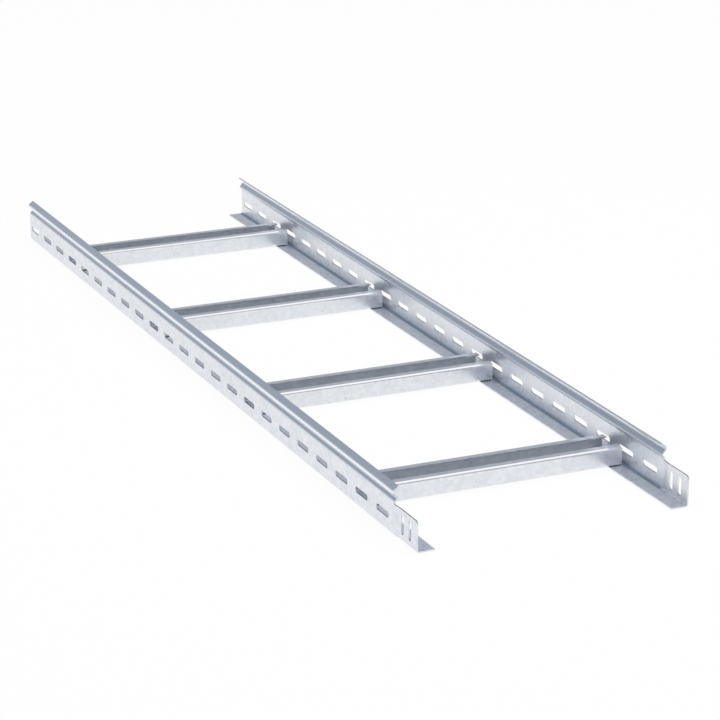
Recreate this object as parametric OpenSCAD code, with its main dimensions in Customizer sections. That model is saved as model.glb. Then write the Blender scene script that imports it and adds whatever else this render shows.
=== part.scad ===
// Cable ladder section: two roll-formed side rails with a folded top bead and a
// joggled connector end, tied together by four C-profile rungs that open upwards.
// X runs along the ladder, Y across it, and Z = 0 is the underside of the rails.

/* [Ladder] */
// Overall length, from the plain end to the tip of the connector end
ladder_l = 1200; // [1150:10:1300]
// Clear width between the webs of the two rails
clear_w = 300; // [200:10:600]

/* [Side rail] */
// Overall height of a side rail
rail_h = 52; // [50:1:80]
// Sheet thickness of the rails
rail_t = 1.5; // [1:0.1:2]
// Width of the bottom flange, from the outer face of the web
flange_w = 20.5; // [16:0.5:30]
// Inside radius of the bend between web and flange
flange_bend_r = 1.2; // [0.5:0.1:3]

/* [Folded bead] */
// How far the groove under the bead is pushed in from the web
groove_in = 3.4; // [3:0.1:5]
// Slant of the strip from the web into the groove, in degrees from upright
groove_slant = 50; // [35:1:52]
// How far the lip of the bead stands out from the web
lip_out = 3.1; // [2.5:0.1:4.5]
// Slant of the strip from the groove out to the lip, in degrees from upright
lip_slant = 42; // [38:1:55]
// How far the top edge leans in from the web
edge_in = 4.2; // [3:0.1:6]
// Slant of the strip from the lip in to the top edge, in degrees from upright
edge_slant = 53; // [45:1:60]
// Radius of the bend from the web into the groove, at the middle of the sheet
web_bend_r = 3.5; // [2:0.5:4]
// Radius of the bottom of the groove, at the middle of the sheet
groove_bend_r = 1.8; // [1.5:0.1:2.5]
// Radius of the lip, at the middle of the sheet
lip_bend_r = 2.8; // [2:0.1:3]

/* [Slots along the rail] */
// Spacing of the lengthwise slots
slot_pitch = 50; // [40:1:50]
// Length of a lengthwise slot
slot_l = 30; // [15:1:34]
// Width of a lengthwise slot
slot_w = 6.5; // [5:0.5:9]
// Height of the row of slots above the underside
slot_z = 17; // [15:0.5:25]
// Distance from the plain end to the middle of the first slot
slot_first = 22.5; // [20:0.5:30]
// Least plain web between the last slot and the connector end
slot_clear = 10; // [5:0.5:12]

/* [Connector end] */
// Length of the stepped-in connector plate, with its joggle
connector_l = 50; // [45:1:70]
// Length of the joggle that steps the plate in
joggle_l = 12; // [6:0.5:14]
// How far the plate is stepped in from the web
connector_in = 1; // [0.5:0.1:2]
// How far the top of the plate lies below the top of the flat web
connector_drop = 2.9; // [1.2:0.1:5]
// Radius of the top corner of the plate
connector_corner_r = 4; // [2:0.5:8]
// Number of upright slots in the plate
end_slot_count = 2; // [1:1:2]
// Spacing of the upright slots
end_slot_pitch = 17; // [12:1:20]
// Distance from the tip of the plate to the first upright slot
end_slot_edge = 16; // [10:0.5:18]
// Length of an upright slot
end_slot_l = 20; // [12:1:22]
// Width of an upright slot
end_slot_w = 6.5; // [5:0.5:9]

/* [Rungs] */
// Spacing of the rungs
rung_pitch = 300; // [250:5:320]
// Distance from the plain end to the middle of the first rung
rung_first = 150; // [100:1:160]
// Width of a rung along the ladder
rung_w = 44.5; // [35:0.5:60]
// Height of a rung
rung_h = 20.5; // [14:0.5:25]
// Width of each lip along the rung's open top
rung_lip = 10; // [5:0.5:15]
// Gap between each end of a rung and the web
rung_gap = 4.5; // [3:0.5:6]
// Sheet thickness of the rungs
rung_t = 1.5; // [1:0.1:2]
// Inside radius of the bends of a rung
rung_bend_r = 1.5; // [0.5:0.1:2.5]

/* [Hidden] */

galvanised = [0.78, 0.80, 0.84];
rung_zinc = [0.74, 0.76, 0.79];
bend_steps = 8;
joggle_steps = 5;
cut = 1;

slot_room = ladder_l - connector_l - slot_clear - slot_l / 2 - slot_first;
slot_count = floor(slot_room / slot_pitch) + 1;
plain_x = -ladder_l / 2;
tip_x = ladder_l / 2;
step_x = tip_x - connector_l;
plate_x = step_x + joggle_l;
outer_y = clear_w / 2 + rail_t;
edge_z = rail_h - sin(edge_slant) * rail_t / 2;
lip_z = edge_z - (lip_out + edge_in) / tan(edge_slant);
groove_z = lip_z - (groove_in + lip_out) / tan(lip_slant);
web_top = groove_z - groove_in / tan(groove_slant);
plate_top = web_top - connector_drop;

// How far the joggle has stepped in after the share u of its length.
function joggled(u) = connector_in * (1 - cos(180 * u)) / 2;

// Unit vector from point a to point b.
function unit(a, b) = (b - a) / norm(b - a);

// The direction d turned a quarter turn to the left.
function left_of(d) = [-d.y, d.x];

// Sheet bent round the corner b on the way from a to c: points of the two faces, each
// a pair [left, right], for a middle bend radius r and a sheet thickness t.
function bend(a, b, c, r, t) =
    let (d0 = unit(a, b), d1 = unit(b, c))
    let (turn = atan2(d0.x * d1.y - d0.y * d1.x, d0 * d1))
    let (side = sign(turn), start = b - d0 * r * tan(abs(turn) / 2))
    let (centre = start + left_of(d0) * side * r)
    [for (i = [0:bend_steps])
        let (a1 = turn * i / bend_steps, n = left_of(d0))
        let (m = [n.x * cos(a1) - n.y * sin(a1), n.x * sin(a1) + n.y * cos(a1)])
        let (mid = centre - m * side * r)
        [mid + m * t / 2, mid - m * t / 2]];

// Outline of a strip of sheet, thickness t, that follows the middle line path. Each
// inner corner of path is bent to the radius that radii gives for it.
function strip_outline(path, radii, t) =
    let (last = len(path) - 1)
    let (n0 = left_of(unit(path[0], path[1])), n1 = left_of(unit(path[last - 1], path[last])))
    let (faces = concat(
        [[path[0] + n0 * t / 2, path[0] - n0 * t / 2]],
        [for (k = [1:last - 1]) each bend(path[k - 1], path[k], path[k + 1], radii[k - 1], t)],
        [[path[last] + n1 * t / 2, path[last] - n1 * t / 2]]))
    concat([for (f = faces) f[0]], [for (k = [len(faces) - 1:-1:0]) faces[k][1]]);

// A slot of overall length l and width w, round at both ends, lying along x.
module slot_shape(l, w) {
    straight = l - w;
    square([straight, w], center = true);
    for (side = [-1, 1])
        translate([side * straight / 2, 0])
            circle(d = w, $fn = 48);
}

// A 2D section, x inwards and y up, drawn out along the ladder from x0 to x1.
module along_ladder(x0, x1) {
    translate([x0, 0, 0])
        rotate([90, 0, 90])
            linear_extrude(height = x1 - x0)
                children();
}

// A 2D shape in the plane of the web, x along the ladder and y up, cut through the web.
module through_web() {
    translate([0, rail_t + connector_in + cut, 0])
        rotate([90, 0, 0])
            linear_extrude(height = rail_t + connector_in + 2 * cut)
                children();
}

// Section of the rail: flange, web and the folded bead.
module rail_section() {
    mid = rail_t / 2;
    path = [
        [flange_w, mid],
        [mid, mid],
        [mid, web_top],
        [mid + groove_in, groove_z],
        [mid - lip_out, lip_z],
        [mid + edge_in, edge_z]
    ];
    radii = [flange_bend_r + mid, web_bend_r, groove_bend_r, lip_bend_r];
    polygon(strip_outline(path, radii, rail_t));
}

// Section of the connector end: flange and web, which the two wastes then trim.
module connector_section() {
    mid = rail_t / 2;
    path = [[flange_w, mid], [mid, mid], [mid, plate_top + cut]];
    polygon(strip_outline(path, [flange_bend_r + mid], rail_t));
}

// What is trimmed off the plate, in the plane of the web: all above its top edge, and
// its top corner, which is rounded.
module connector_waste() {
    r = connector_corner_r;
    translate([step_x, plate_top])
        square([connector_l + cut, 2 * cut]);
    difference() {
        translate([tip_x - r, plate_top - r])
            square(r + cut);
        translate([tip_x - r, plate_top - r])
            circle(r = r, $fn = 64);
    }
}

// What is trimmed off the flange of the connector end, so that its edge runs straight on.
module flange_waste() {
    translate([step_x, flange_w, -cut])
        cube([connector_l + cut, connector_in + cut, rail_t + 2 * cut]);
}

// The joggle, from step_x to plate_x: short straight lengths that follow a soft S inwards.
module joggle_part() {
    for (k = [0:joggle_steps - 1]) {
        from = joggled(k / joggle_steps);
        slope = (joggled((k + 1) / joggle_steps) - from) * joggle_steps / joggle_l;
        x0 = step_x + k * joggle_l / joggle_steps;
        shift = from - slope * x0;
        multmatrix([[1, 0, 0, 0], [slope, 1, 0, shift]])
            along_ladder(x0, x0 + joggle_l / joggle_steps)
                connector_section();
    }
}

// Rail with its outer web face on y = 0 and its inside towards +y.
module rail() {
    difference() {
        union() {
            along_ladder(plain_x, step_x)
                rail_section();
            joggle_part();
            translate([0, connector_in, 0])
                along_ladder(plate_x, tip_x)
                    connector_section();
        }
        through_web() {
            for (i = [0:slot_count - 1])
                translate([plain_x + slot_first + i * slot_pitch, slot_z])
                    slot_shape(slot_l, slot_w);
            for (i = [0:end_slot_count - 1])
                translate([tip_x - end_slot_edge - i * end_slot_pitch, slot_z])
                    rotate(90)
                        slot_shape(end_slot_l, end_slot_w);
            connector_waste();
        }
        flange_waste();
    }
}

module side_rail_left() {
    color(galvanised)
        translate([0, -outer_y, 0])
            rail();
}

module side_rail_right() {
    color(galvanised)
        mirror([0, 1, 0])
            translate([0, -outer_y, 0])
                rail();
}

// Section of a rung, x along the ladder and y up, open between its two lips.
module rung_section() {
    mid = rung_t / 2;
    half = rung_w / 2;
    top = rung_h - mid;
    r = rung_bend_r + mid;
    path = [
        [half - rung_lip, top],
        [half - mid, top],
        [half - mid, mid],
        [mid - half, mid],
        [mid - half, top],
        [rung_lip - half, top]
    ];
    polygon(strip_outline(path, [r, r, r, r], rung_t));
}

// Rung number i, counted from the plain end: it stands on the flanges, between the webs.
module rung(i) {
    rung_l = clear_w - 2 * rung_gap;
    color(rung_zinc)
        translate([plain_x + rung_first + (i - 1) * rung_pitch, rung_l / 2, rail_t])
            rotate([90, 0, 0])
                linear_extrude(height = rung_l)
                    rung_section();
}

module rung_1() { rung(1); }
module rung_2() { rung(2); }
module rung_3() { rung(3); }
module rung_4() { rung(4); }

side_rail_left();
side_rail_right();
rung_1();
rung_2();
rung_3();
rung_4();
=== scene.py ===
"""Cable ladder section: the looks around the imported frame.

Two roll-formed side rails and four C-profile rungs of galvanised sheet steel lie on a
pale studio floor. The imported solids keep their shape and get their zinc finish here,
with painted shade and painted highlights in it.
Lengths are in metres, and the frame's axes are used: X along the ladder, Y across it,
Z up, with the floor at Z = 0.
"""

import logging
import math
from dataclasses import dataclass
from enum import Enum
from typing import Any

import bpy
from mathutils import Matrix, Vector


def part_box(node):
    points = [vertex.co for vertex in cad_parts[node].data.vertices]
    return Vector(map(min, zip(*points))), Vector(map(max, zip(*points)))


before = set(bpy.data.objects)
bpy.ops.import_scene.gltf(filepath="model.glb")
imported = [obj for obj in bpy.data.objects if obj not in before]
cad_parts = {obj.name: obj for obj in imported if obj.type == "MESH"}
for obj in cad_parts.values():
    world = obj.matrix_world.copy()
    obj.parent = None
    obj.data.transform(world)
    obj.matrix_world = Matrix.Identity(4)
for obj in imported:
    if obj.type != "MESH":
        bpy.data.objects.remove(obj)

log = logging.getLogger("cable_ladder")

Colour = tuple[float, float, float]
Point = tuple[float, float, float]
Span = tuple[float, float]
Stop = tuple[float, Colour]

MM = 0.001
MARK_EDGE = 0.1 * MM
WHITE: Colour = (1.0, 1.0, 1.0)


class Operation(Enum):
    """The maths operations that a Wire knows by name."""

    ADD = "ADD"
    SUBTRACT = "SUBTRACT"
    MULTIPLY = "MULTIPLY"
    MAXIMUM = "MAXIMUM"
    ABSOLUTE = "ABSOLUTE"
    MODULO = "MODULO"


class Wire:
    """An output socket of a shader tree that can be used in a Python expression."""

    def __init__(self, graph: "Graph", socket: bpy.types.NodeSocket) -> None:
        """Keeps the socket and the graph that it belongs to."""
        self.graph = graph
        self.socket = socket

    def _maths(self, operation: Operation, left: Any, right: Any) -> "Wire":
        """Adds a Math node.

        Args:
            operation: what the node does.
            left: first value, a number or a wire.
            right: second value, a number or a wire.

        Returns:
            The node's output.
        """
        return self.graph.node("ShaderNodeMath", {"operation": operation.value}, {0: left, 1: right})

    def __add__(self, other: Any) -> "Wire":
        """This plus other."""
        return self._maths(Operation.ADD, self, other)

    __radd__ = __add__

    def __mul__(self, other: Any) -> "Wire":
        """This times other."""
        return self._maths(Operation.MULTIPLY, self, other)

    __rmul__ = __mul__

    def __sub__(self, other: Any) -> "Wire":
        """This minus other."""
        return self._maths(Operation.SUBTRACT, self, other)

    def __rsub__(self, other: Any) -> "Wire":
        """Other minus this."""
        return self._maths(Operation.SUBTRACT, other, self)

    def size(self) -> "Wire":
        """This without its sign."""
        return self._maths(Operation.ABSOLUTE, self, 0.0)

    def over(self, whole: float) -> "Wire":
        """What is left over after this is divided into wholes."""
        return self._maths(Operation.MODULO, self, whole)

    def larger_of(self, other: Any) -> "Wire":
        """The larger of this and other, which is 1 where either mask is."""
        return self._maths(Operation.MAXIMUM, self, other)


class Graph:
    """Builds the node tree of a material or of the world."""

    def __init__(self, tree: bpy.types.NodeTree) -> None:
        """Empties the tree and keeps it."""
        self.tree = tree
        tree.nodes.clear()

    def node(
        self,
        kind: str,
        settings: dict[str, Any] | None = None,
        inputs: dict[int | str, Any] | None = None,
        output: int | str = 0,
    ) -> Wire:
        """Adds a node.

        Args:
            kind: the node's type name.
            settings: its properties, which are set first.
            inputs: values or wires for its inputs, by index or name.
            output: which output is returned, by index or name.

        Returns:
            The chosen output of the new node.
        """
        added = self.tree.nodes.new(kind)
        for name, value in (settings or {}).items():
            setattr(added, name, value)
        for key, value in (inputs or {}).items():
            self.feed(added.inputs[key], value)
        if not added.outputs:
            return Wire(self, None)
        return Wire(self, added.outputs[output])

    def feed(self, socket: bpy.types.NodeSocket, value: Any) -> None:
        """Links a wire to an input, or sets the input to a plain value.

        Args:
            socket: the input.
            value: a wire, a number, a vector or a colour.
        """
        if isinstance(value, Wire):
            self.tree.links.new(value.socket, socket)
        elif isinstance(value, tuple) and len(value) == 3 and socket.type == "RGBA":
            socket.default_value = (*value, 1.0)
        else:
            socket.default_value = value

    def mix_colour(self, factor: Any, low: Any, high: Any) -> Wire:
        """Mixes two colours.

        Args:
            factor: 0 for low and 1 for high.
            low: a colour or a wire.
            high: a colour or a wire.

        Returns:
            The mixed colour.
        """
        settings = {"data_type": "RGBA", "clamp_factor": True}
        return self.node("ShaderNodeMix", settings, {0: factor, 6: low, 7: high}, 2)

    def ramp(self, factor: Any, stops: list[Stop]) -> Wire:
        """Turns a value into a colour.

        Args:
            factor: the value to look up.
            stops: places between 0 and 1, each with its colour.

        Returns:
            The colour at factor.
        """
        added = self.tree.nodes.new("ShaderNodeValToRGB")
        elements = added.color_ramp.elements
        while len(elements) < len(stops):
            elements.new(1.0)
        for element, (place, colour) in zip(elements, stops):
            element.position = place
            element.color = (*colour, 1.0)
        self.feed(added.inputs[0], factor)
        return Wire(self, added.outputs[0])

    def map_range(self, value: Any, source: Span, target: Span) -> Wire:
        """Rescales a value from the range source to the range target, and clamps it."""
        inputs = {0: value, 1: source[0], 2: source[1], 3: target[0], 4: target[1]}
        return self.node("ShaderNodeMapRange", {"clamp": True}, inputs)

    def parts(self, vector: Wire) -> tuple[Wire, Wire, Wire]:
        """Splits a vector into its X, Y and Z."""
        split = self.node("ShaderNodeSeparateXYZ", inputs={0: vector}).socket.node
        return tuple(Wire(self, socket) for socket in split.outputs)

    def step(self, value: Wire, start: float) -> Wire:
        """Rises sharply from 0 to 1 just before start."""
        return self.map_range(value, (start - MARK_EDGE, start), (0.0, 1.0))


@dataclass(frozen=True)
class Mark:
    """A place where the zinc looks different.

    Attributes:
        colour: its colour, or None where the zinc keeps its own.
        roughness: its roughness.
    """

    colour: Colour | None
    roughness: float


@dataclass
class Skin:
    """The colour and the roughness that a surface has so far.

    Attributes:
        colour: the wire of its colour.
        roughness: the wire of its roughness.
    """

    colour: Wire
    roughness: Wire

    def cover(self, mark: Mark, mask: Wire) -> None:
        """Lays a mark over the skin.

        Args:
            mark: how the skin looks there.
            mask: 1 where the mark covers the skin and 0 elsewhere.
        """
        graph = mask.graph
        if mark.colour is not None:
            self.colour = graph.mix_colour(mask, self.colour, mark.colour)
        self.roughness = self.roughness + mask * (mark.roughness - self.roughness)


@dataclass(frozen=True)
class ZincFinish:
    """Hot-dip galvanised sheet: a satin zinc skin with a fine spangle.

    Attributes:
        name: the material's name.
        pale: colour of the brighter crystals.
        deep: colour of the duller crystals.
        crystal: size of a crystal.
        cloud: size of the soft, wide changes of tone.
        cloud_detail: how many finer layers the clouds have.
        cloud_roughness: how strong those layers are.
        grain: size of the fine grain within the crystals.
        grain_detail: how many finer layers the grain has.
        grain_roughness: how strong those layers are.
        shares: how much crystals, clouds and grain each add to the tone.
        tone_span: tones that take the lowest and the highest roughness.
        roughness: lowest and highest roughness.
        metallic: how much of the skin reflects as metal.
        relief: strength of the bump of the crystals.
        relief_depth: height of that bump.
    """

    name: str
    pale: Colour
    deep: Colour
    crystal: float = 5 * MM
    cloud: float = 40 * MM
    cloud_detail: float = 4.0
    cloud_roughness: float = 0.6
    grain: float = 5 / 6 * MM
    grain_detail: float = 2.0
    grain_roughness: float = 0.5
    shares: tuple[float, float, float] = (0.45, 0.35, 0.2)
    tone_span: Span = (0.25, 0.75)
    roughness: Span = (0.27, 0.36)
    metallic: float = 0.81
    relief: float = 0.25
    relief_depth: float = 0.05 * MM

    def build(self) -> bpy.types.Material:
        """Makes the material.

        Returns:
            The new material, built on Object coordinates.
        """
        material = bpy.data.materials.new(self.name)
        material.use_nodes = True
        graph = Graph(material.node_tree)
        place = graph.node("ShaderNodeTexCoord", output="Object")
        crystals = graph.node(
            "ShaderNodeTexVoronoi",
            {"feature": "F1"},
            {"Vector": place, "Scale": 1 / self.crystal, "Randomness": 1.0},
            "Color",
        )
        crystal = graph.node("ShaderNodeSeparateColor", inputs={0: crystals}, output=0)
        cloud = self.noise(graph, place, self.cloud, self.cloud_detail, self.cloud_roughness)
        grain = self.noise(graph, place, self.grain, self.grain_detail, self.grain_roughness)
        crystal_share, cloud_share, grain_share = self.shares
        tone = crystal_share * crystal + cloud_share * cloud + grain_share * grain
        skin = Skin(
            graph.mix_colour(tone, self.deep, self.pale),
            graph.map_range(tone, self.tone_span, self.roughness),
        )
        for mark, mask in self.marks(graph, place):
            skin.cover(mark, mask)
        bump = graph.node(
            "ShaderNodeBump",
            inputs={"Strength": self.relief, "Distance": self.relief_depth, "Height": tone},
        )
        shader = graph.node(
            "ShaderNodeBsdfPrincipled",
            inputs={
                "Base Color": skin.colour,
                "Metallic": self.metallic,
                "Roughness": skin.roughness,
                "Normal": bump,
            },
        )
        graph.node("ShaderNodeOutputMaterial", inputs={"Surface": shader})
        return material

    def noise(self, graph: Graph, place: Wire, size: float, detail: float, roughness: float) -> Wire:
        """Adds a soft random pattern.

        Args:
            graph: the material's graph.
            place: the Object coordinates.
            size: size of its largest spots.
            detail: how many finer layers it has.
            roughness: how strong those layers are.

        Returns:
            The pattern, a value around a half.
        """
        inputs = {"Vector": place, "Scale": 1 / size, "Detail": detail, "Roughness": roughness}
        return graph.node("ShaderNodeTexNoise", inputs=inputs)

    def marks(self, graph: Graph, place: Wire) -> list[tuple[Mark, Wire]]:
        """Finds the places that look different from the plain sheet.

        Args:
            graph: the material's graph.
            place: the Object coordinates.

        Returns:
            Each mark with its mask, 1 where the mark covers the zinc: none on plain sheet.
        """
        return []


@dataclass(frozen=True)
class RailZincAndPaintedLight(ZincFinish):
    """The zinc of a side rail, with painted shade in the crease, over the rolled top and on upward
    cut faces, and painted highlights on the rim, outside and inside.

    Attributes:
        crease_shade: painted shade, a dark stripe in the crease between web and flange, where shade
            falls.
        crease_shade_at: distance from the middle of the ladder, and height, of that painted shade.
        crease_shade_reach: radii within which the painted shade is full and beyond which it is gone.
        crease_shade_end: where the painted shade fades out, along the ladder.
        edge_shade: painted shade on the cut edges of the web that face up, which are also made
            duller.
        edge_sideways: how far a face looks sideways, from a full mark to none.
        edge_upwards: how far a face looks up, from no mark to a full one.
        edge_inside: distance from the middle of the ladder beyond which the web lies.
        edge_above: height above which the web is clear of the painted shade in the crease.
        bead_shade: painted shade, a darker and bluer tone over the rolled top of the rail, but for
            its rim.
        bead_shade_from: heights between which it sets in.
        lip_highlight: a painted highlight, paler and smoother zinc on the outer rim of the rolled
            top.
        lip_highlight_from: distances from the middle of the ladder between which it sets in.
        hollow_highlight: a painted highlight, paler zinc in the concave fold inside the rim, on the
            inside of the rail.
        hollow_highlight_from: distances from the middle of the ladder between which it sets in.
        facing_in: how far a face looks to the middle, as Y in metres times the normal's Y.
    """

    crease_shade: Mark = Mark((0.32, 0.40, 0.49), 0.42)
    crease_shade_at: tuple[float, float] = (148.6 * MM, 1.8 * MM)
    crease_shade_reach: Span = (0.9 * MM, 2.6 * MM)
    crease_shade_end: Span = (545 * MM, 551 * MM)
    edge_shade: Mark = Mark((0.30, 0.32, 0.36), 0.5)
    edge_sideways: Span = (0.35, 0.5)
    edge_upwards: Span = (0.4, 0.9)
    edge_inside: float = 148.9 * MM
    edge_above: float = 3.2 * MM
    bead_shade: Mark = Mark((0.65, 0.70, 0.77), 0.32)
    bead_shade_from: Span = (35 * MM, 37 * MM)
    lip_highlight: Mark = Mark((0.92, 0.94, 0.97), 0.18)
    lip_highlight_from: Span = (152.4 * MM, 152.9 * MM)
    hollow_highlight: Mark = Mark((0.95, 0.96, 0.98), 0.28)
    hollow_highlight_from: Span = (150.6 * MM, 151.2 * MM)
    facing_in: Span = (-0.01, -0.03)

    def marks(self, graph: Graph, place: Wire) -> list[tuple[Mark, Wire]]:
        """Finds the painted shade in the crease, over the rolled top and on upward cut faces, and
        the painted highlights on the rim and inside it.

        Args:
            graph: the material's graph.
            place: the Object coordinates.

        Returns:
            Each mark with its mask.
        """
        along, sided, height = graph.parts(place)
        across = sided.size()
        # Painted shade: a dark stripe along the crease between web and flange, fading out at the
        # connector end.
        beside = across - self.crease_shade_at[0]
        above = height - self.crease_shade_at[1]
        near, far = self.crease_shade_reach
        distance = beside * beside + above * above
        crease_shade = graph.map_range(distance, (near * near, far * far), (1.0, 0.0))
        crease_shade = crease_shade * graph.map_range(along, self.crease_shade_end, (1.0, 0.0))
        normal = graph.node("ShaderNodeNewGeometry", output="True Normal")
        _, sideways, upwards = graph.parts(normal)
        # Painted shade on the cut edges of the web that face up.
        edge_shade = graph.map_range(sideways.size(), self.edge_sideways, (1.0, 0.0))
        edge_shade = edge_shade * graph.map_range(upwards, self.edge_upwards, (0.0, 1.0))
        edge_shade = edge_shade * graph.step(across, self.edge_inside) * graph.step(height, self.edge_above)
        # Painted highlight on the outer rim of the rolled top.
        lip_highlight = graph.map_range(across, self.lip_highlight_from, (0.0, 1.0))
        # Painted shade: a darker, bluer tone over the rolled top.
        bead_shade = graph.map_range(height, self.bead_shade_from, (0.0, 1.0))
        # Painted highlight in the concave fold inside the rim, on faces that look inward.
        inside = graph.map_range(sided * sideways, self.facing_in, (0.0, 1.0))
        hollow_highlight = inside * bead_shade * graph.map_range(across, self.hollow_highlight_from, (0.0, 1.0))
        return [
            (self.crease_shade, crease_shade),
            (self.bead_shade, bead_shade),
            (self.edge_shade, edge_shade),
            (self.lip_highlight, lip_highlight),
            (self.hollow_highlight, hollow_highlight),
        ]


@dataclass(frozen=True)
class RungZincAndPaintedLight(ZincFinish):
    """The zinc of a rung, with a painted shadow where it meets the flanges, smooth on its top bends,
    and a painted highlight on their upper half.

    Attributes:
        foot_shadow: a painted shadow, near black, at the bottom of the rung's ends where they sit on
            the flanges.
        foot_shadow_from: distance from the middle of the ladder beyond which it lies.
        foot_shadow_height: heights between which it fades out.
        top: the mark on the top bends and lips.
        top_height: heights between which it sets in.
        bend_highlight: a painted highlight, near white and smooth, on the upper half of the top
            bends.
        bend_highlight_height: heights between which it sets in.
        bend_highlight_from: distance from the middle of the rung beyond which it lies.
        pitch: spacing of the rungs, which stand half a pitch off the middle.
    """

    foot_shadow: Mark = Mark((0.03, 0.035, 0.04), 0.7)
    foot_shadow_from: float = 131 * MM
    foot_shadow_height: Span = (1.9 * MM, 2.5 * MM)
    top: Mark = Mark(None, 0.13)
    top_height: Span = (18.2 * MM, 19.0 * MM)
    bend_highlight: Mark = Mark((0.99, 0.99, 1.0), 0.12)
    bend_highlight_height: Span = (20.2 * MM, 20.9 * MM)
    bend_highlight_from: float = 19.4 * MM
    pitch: float = 300 * MM

    def marks(self, graph: Graph, place: Wire) -> list[tuple[Mark, Wire]]:
        """Finds the painted shadow at the bottom of the rung's ends, the top bends, and the painted
        highlight on their upper half.

        Args:
            graph: the material's graph.
            place: the Object coordinates.

        Returns:
            Each mark with its mask.
        """
        along, across, height = graph.parts(place)
        # Painted shadow, near black, at the bottom of the rung's ends.
        foot_shadow = graph.map_range(height, self.foot_shadow_height, (1.0, 0.0))
        foot_shadow = foot_shadow * graph.step(across.size(), self.foot_shadow_from)
        top = graph.map_range(height, self.top_height, (0.0, 1.0))
        # The remainder has the sign of the place, so all places are first moved past zero.
        moved = along + 2 * self.pitch
        beside = moved.over(self.pitch) - self.pitch / 2
        # Painted highlight on the upper half of the top bends.
        bend_highlight = graph.map_range(height, self.bend_highlight_height, (0.0, 1.0))
        bend_highlight = bend_highlight * graph.step(beside.size(), self.bend_highlight_from)
        return [(self.foot_shadow, foot_shadow), (self.top, top), (self.bend_highlight, bend_highlight)]


@dataclass
class SheetPart:
    """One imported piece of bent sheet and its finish.

    Attributes:
        node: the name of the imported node.
        finish: the finish of its surface.
    """

    node: str
    finish: bpy.types.Material

    def dress(self) -> None:
        """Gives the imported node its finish, in place of its plain material."""
        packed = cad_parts[self.node]
        packed.data.materials.clear()
        packed.data.materials.append(self.finish)
        low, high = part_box(self.node)
        spans = [round((b - a) / MM, 1) for a, b in zip(low, high)]
        log.info("%s: %s, %s mm", self.node, self.finish.name, spans)


@dataclass
class CableLadder:
    """The whole section: two side rails and four rungs.

    Attributes:
        rail_zinc_with_painted_light: zinc of the side rails, with painted shade and painted
            highlights.
        rung_zinc_with_painted_light: zinc of the rungs, with a painted shadow and a painted
            highlight.
    """

    rail_zinc_with_painted_light: ZincFinish
    rung_zinc_with_painted_light: ZincFinish

    def build(self) -> None:
        """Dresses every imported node."""
        rail_zinc = self.rail_zinc_with_painted_light.build()
        rung_zinc = self.rung_zinc_with_painted_light.build()
        for node in sorted(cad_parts):
            finish = rail_zinc if node.startswith("side_rail") else rung_zinc
            SheetPart(node, finish).dress()


@dataclass(frozen=True)
class Wall:
    """The colours of one side of the studio, from straight down at 0 to straight up at 1.

    Attributes:
        middle: the colours from just above the horizon, which is at 0.5.
        below: the colours up to the horizon.
        above: the colours at the top, with a bright ring that the bends mirror.
    """

    middle: tuple[Stop, ...]
    below: tuple[Stop, ...] = ((0.0, WHITE), (0.49, WHITE))
    above: tuple[Stop, ...] = (
        (0.85, (0.42, 0.45, 0.50)),
        (0.88, WHITE),
        (0.96, WHITE),
        (1.0, (0.80, 0.82, 0.86)),
    )

    def stops(self) -> list[Stop]:
        """All colours of the wall, from the lowest place up."""
        return [*self.below, *self.middle, *self.above]


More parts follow.
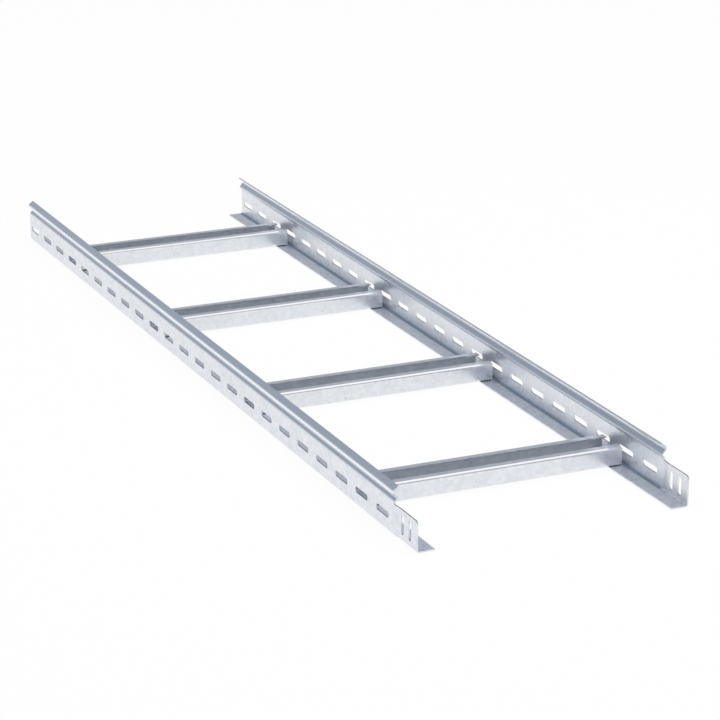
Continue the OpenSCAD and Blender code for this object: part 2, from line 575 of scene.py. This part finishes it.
@dataclass
class Studio:
    """Floor, light and camera.

    Attributes:
        aim: the point that the camera looks at.
        azimuth: direction of the camera from the aim, in degrees from +X.
        elevation: height of the camera above the aim, in degrees.
        distance: distance of the camera from the aim.
        lens: focal length in millimetres, for the sensor width below.
        sensor: sensor width in millimetres.
        reach: distance from the camera beyond which nothing is drawn.
        floor_size: side of the square floor.
        floor_paint: colour of the floor, which takes the shadows.
        white_share: how much of the floor is plain white to the camera.
        lamp_place: where the soft overhead lamp hangs, along and across the ladder.
        lamp_height: height of that lamp.
        lamp_size: side of that lamp.
        lamp_power: its power in watts.
        side_span: directions across, from the dim wall to the pale one.
        front_span: directions along, from the side walls to the front wall.
        dim_wall: the wall on the left rail's side.
        front_wall: the wall beyond the connector end.
        pale_wall: the wall on the right rail's side.
    """

    aim: Point = (0.0874, 0.0192, 0.017)
    azimuth: float = -24.117
    elevation: float = 18.4725
    distance: float = 3.24477
    lens: float = 142.379
    sensor: float = 36.0
    reach: float = 100.0
    floor_size: float = 60.0
    floor_paint: Colour = (0.97, 0.97, 0.97)
    white_share: float = 0.93
    lamp_place: tuple[float, float] = (0.3, 0.2)
    lamp_height: float = 2.6
    lamp_size: float = 3.0
    lamp_power: float = 28.0
    side_span: Span = (-0.35, 0.35)
    front_span: Span = (-0.2, 0.5)
    dim_wall: Wall = Wall(
        (
            (0.52, (0.55, 0.58, 0.62)),
            (0.65, (0.62, 0.63, 0.66)),
            (0.72, (0.18, 0.22, 0.30)),
        )
    )
    front_wall: Wall = Wall(
        (
            (0.52, (0.36, 0.39, 0.45)),
            (0.60, (0.45, 0.48, 0.53)),
            (0.66, (0.82, 0.83, 0.85)),
            (0.72, (0.40, 0.43, 0.49)),
        )
    )
    pale_wall: Wall = Wall(
        (
            (0.52, (0.62, 0.64, 0.68)),
            (0.65, (0.38, 0.40, 0.44)),
            (0.72, (0.31, 0.35, 0.42)),
        )
    )

    def build(self) -> None:
        """Makes the floor, the light and the camera."""
        self.make_floor()
        self.make_world()
        self.make_lamp()
        self.make_camera()
        bpy.context.scene.view_settings.view_transform = "Standard"

    def make_floor(self) -> None:
        """Lays the pale floor, which shows white and keeps a soft shadow."""
        half = self.floor_size / 2
        mesh = bpy.data.meshes.new("floor")
        corners = [(-half, -half, 0), (half, -half, 0), (half, half, 0), (-half, half, 0)]
        mesh.from_pydata(corners, [], [(0, 1, 2, 3)])
        floor = bpy.data.objects.new("floor", mesh)
        bpy.context.scene.collection.objects.link(floor)
        mesh.materials.append(self.floor_material())

    def floor_material(self) -> bpy.types.Material:
        """Makes the floor's material.

        Returns:
            Pale diffuse paint, mixed with plain white for what is seen or mirrored.
        """
        material = bpy.data.materials.new("pale_floor")
        material.use_nodes = True
        graph = Graph(material.node_tree)
        seen = graph.node("ShaderNodeLightPath", output="Is Camera Ray")
        glossy = graph.node("ShaderNodeLightPath", output="Is Glossy Ray")
        through = graph.node("ShaderNodeLightPath", output="Is Transmission Ray")
        paint = graph.node("ShaderNodeBsdfDiffuse", inputs={"Color": self.floor_paint})
        white = graph.node("ShaderNodeEmission", inputs={"Color": WHITE, "Strength": 1.0})
        share = (self.white_share * seen).larger_of(glossy.larger_of(through))
        mixed = graph.node("ShaderNodeMixShader", inputs={0: share, 1: paint, 2: white})
        graph.node("ShaderNodeOutputMaterial", inputs={"Surface": mixed})
        return material

    def make_world(self) -> None:
        """Sets the walls: white up to the horizon, greyer above, with a bright ring on top."""
        world = bpy.data.worlds.new("studio")
        world.use_nodes = True
        bpy.context.scene.world = world
        graph = Graph(world.node_tree)
        along, across, height = graph.parts(graph.node("ShaderNodeTexCoord", output="Generated"))
        level = 0.5 * height + 0.5
        dim = graph.ramp(level, self.dim_wall.stops())
        pale = graph.ramp(level, self.pale_wall.stops())
        front = graph.ramp(level, self.front_wall.stops())
        sides = graph.mix_colour(graph.map_range(across, self.side_span, (0.0, 1.0)), dim, pale)
        walls = graph.mix_colour(graph.map_range(along, self.front_span, (0.0, 1.0)), sides, front)
        light = graph.node("ShaderNodeBackground", inputs={"Color": walls, "Strength": 1.0})
        graph.node("ShaderNodeOutputWorld", inputs={"Surface": light})

    def make_lamp(self) -> None:
        """Hangs one wide, soft lamp over the object, which its zinc does not mirror."""
        data = bpy.data.lights.new("overhead", "AREA")
        data.shape = "SQUARE"
        data.size = self.lamp_size
        data.energy = self.lamp_power
        lamp = bpy.data.objects.new("overhead", data)
        lamp.location = (*self.lamp_place, self.lamp_height)
        lamp.visible_glossy = False
        bpy.context.scene.collection.objects.link(lamp)

    def make_camera(self) -> None:
        """Sets the camera on its direction and distance from the aim."""
        turn = math.radians(self.azimuth)
        rise = math.radians(self.elevation)
        level = math.cos(rise)
        away = Vector((level * math.cos(turn), level * math.sin(turn), math.sin(rise)))
        data = bpy.data.cameras.new("camera")
        data.lens = self.lens
        data.sensor_width = self.sensor
        data.clip_end = self.reach
        camera = bpy.data.objects.new("camera", data)
        camera.location = Vector(self.aim) + self.distance * away
        camera.rotation_euler = (-away).to_track_quat("-Z", "Y").to_euler()
        bpy.context.scene.collection.objects.link(camera)
        bpy.context.scene.camera = camera


def main() -> None:
    """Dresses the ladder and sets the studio."""
    logging.basicConfig(level=logging.INFO, format="%(name)s: %(message)s")
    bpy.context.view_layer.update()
    rail = RailZincAndPaintedLight("rail_zinc", pale=(0.93, 0.95, 0.97), deep=(0.66, 0.69, 0.75))
    rung = RungZincAndPaintedLight("rung_zinc", pale=(0.94, 0.96, 0.98), deep=(0.70, 0.73, 0.78))
    CableLadder(rail, rung).build()
    Studio().build()


if __name__ == "__main__":
    main()
